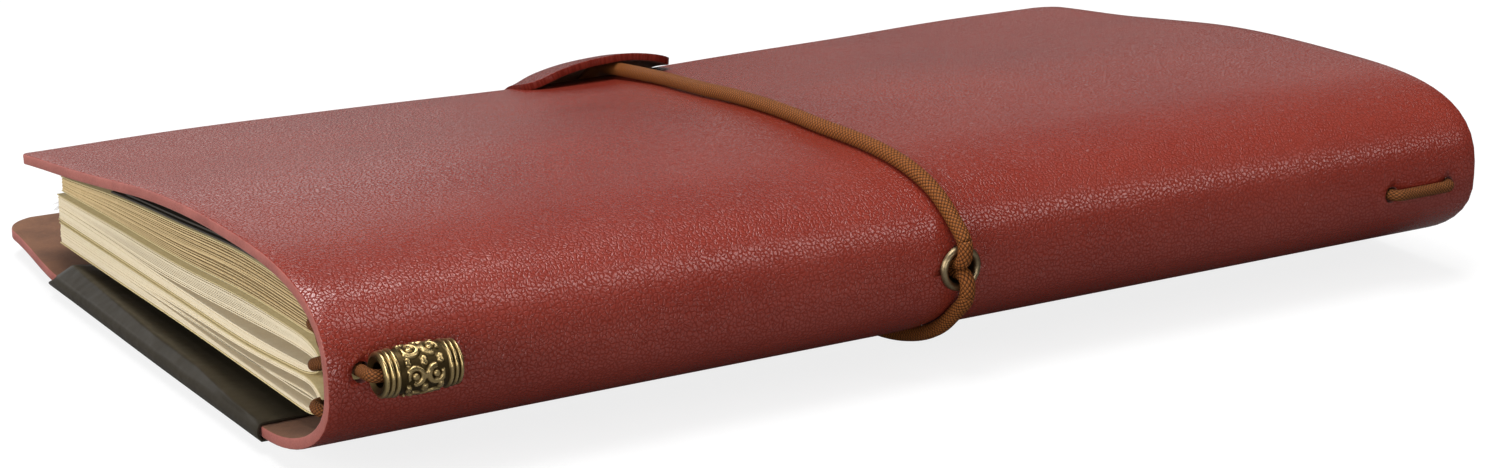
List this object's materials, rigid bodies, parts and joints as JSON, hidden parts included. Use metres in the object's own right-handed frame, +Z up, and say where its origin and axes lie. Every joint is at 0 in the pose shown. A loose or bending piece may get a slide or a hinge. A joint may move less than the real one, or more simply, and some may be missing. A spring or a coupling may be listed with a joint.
{
  "type": "travelers notebook",
  "caption": "Closed travelers notebook: soft red leather cover with wrap-around elastic and brass eyelet, a beaded binding cord, stapled booklets, a card holder and plastic pockets.",
  "frame": {"origin": "centre of the whole notebook in plan, on the surface that it lies on, under its closure cord", "axes": "+X along the spine towards the plain end of the binding cord; +Y from the spine to the fore-edge; +Z up, through the back cover, the booklets and the front cover"},
  "size_m": [0.2214, 0.1612, 0.0359],
  "materials": {
    "leather": "satin",
    "card_stock": "matte",
    "cream_paper": "matte",
    "kraft_paper": "matte",
    "elastic": "matte",
    "antique_brass": "satin",
    "steel_wire": "satin",
    "smoke_plastic": "gloss",
    "dark_plastic": "satin",
    "clear_plastic": "gloss"
  },
  "bodies": {
    "back": {"back_cover": "leather", "closure_cord": "elastic", "binding_cord": "elastic", "binding_knot_far": "elastic", "booklet_1_cover_back": "card_stock", "booklet_1_leaves_back": "kraft_paper", "booklet_1_staple_near": "steel_wire", "booklet_1_staple_far": "steel_wire", "booklet_2_cover": "card_stock", "booklet_2_leaves": "cream_paper", "booklet_2_staple_near": "steel_wire", "booklet_2_staple_far": "steel_wire", "booklet_3_cover": "card_stock", "booklet_3_leaves": "cream_paper", "booklet_3_staple_near": "steel_wire", "booklet_3_staple_far": "steel_wire", "clear_pocket": "clear_plastic"},
    "spine": {"spine_cover": "leather", "eyelet": "antique_brass", "eyelet_washer": "antique_brass", "closure_cord_knot": "elastic", "binding_knot_near": "elastic"},
    "bead": {"bead": "antique_brass"},
    "front": {"front_cover": "leather"},
    "fan": {"booklet_1_cover_front": "card_stock", "booklet_1_leaves_front": "kraft_paper", "card_holder": "dark_plastic", "card_pocket_sheet": "dark_plastic"},
    "tongue": {"closure_tongue": "leather"},
    "sleeve": {"plastic_sleeve": "smoke_plastic"}
  },
  "joints": [
    {"name": "cover_open", "type": "hinge", "parent": "back", "child": "spine", "pos_m": [0.0007, -0.07024, 0.01034], "axis": [1, 0, 0], "range_deg": [0, 90], "deforming": ["closure_cord", "closure_tongue", "binding_cord"]},
    {"name": "front_fold", "type": "hinge", "parent": "spine", "child": "front", "pos_m": [0.0007, -0.06982, 0.0268], "axis": [1, 0, 0], "range_deg": [0, 93]},
    {"name": "booklet_turn", "type": "hinge", "parent": "back", "child": "fan", "pos_m": [0.0007, -0.06022, 0.02371], "axis": [1, 0, 0], "range_deg": [0, 171]},
    {"name": "tongue_lift", "type": "hinge", "parent": "back", "child": "tongue", "pos_m": [0.0054, 0.07428, 0.0027], "axis": [-1, 0, 0], "range_deg": [0, 90]},
    {"name": "sleeve_slide", "type": "slide", "parent": "back", "child": "sleeve", "axis": [-1, 0, 0], "range_m": [0, 0.045]},
    {"name": "bead_spin", "type": "hinge", "parent": "spine", "child": "bead", "pos_m": [-0.0975, -0.07708, 0.0205], "axis": [1, 0, 0], "continuous": true}
  ],
  "couplings": [
    {"joint": "front_fold", "follows": "cover_open", "ratio": 1.0333},
    {"joint": "booklet_turn", "follows": "cover_open", "ratio": 1.9}
  ]
}
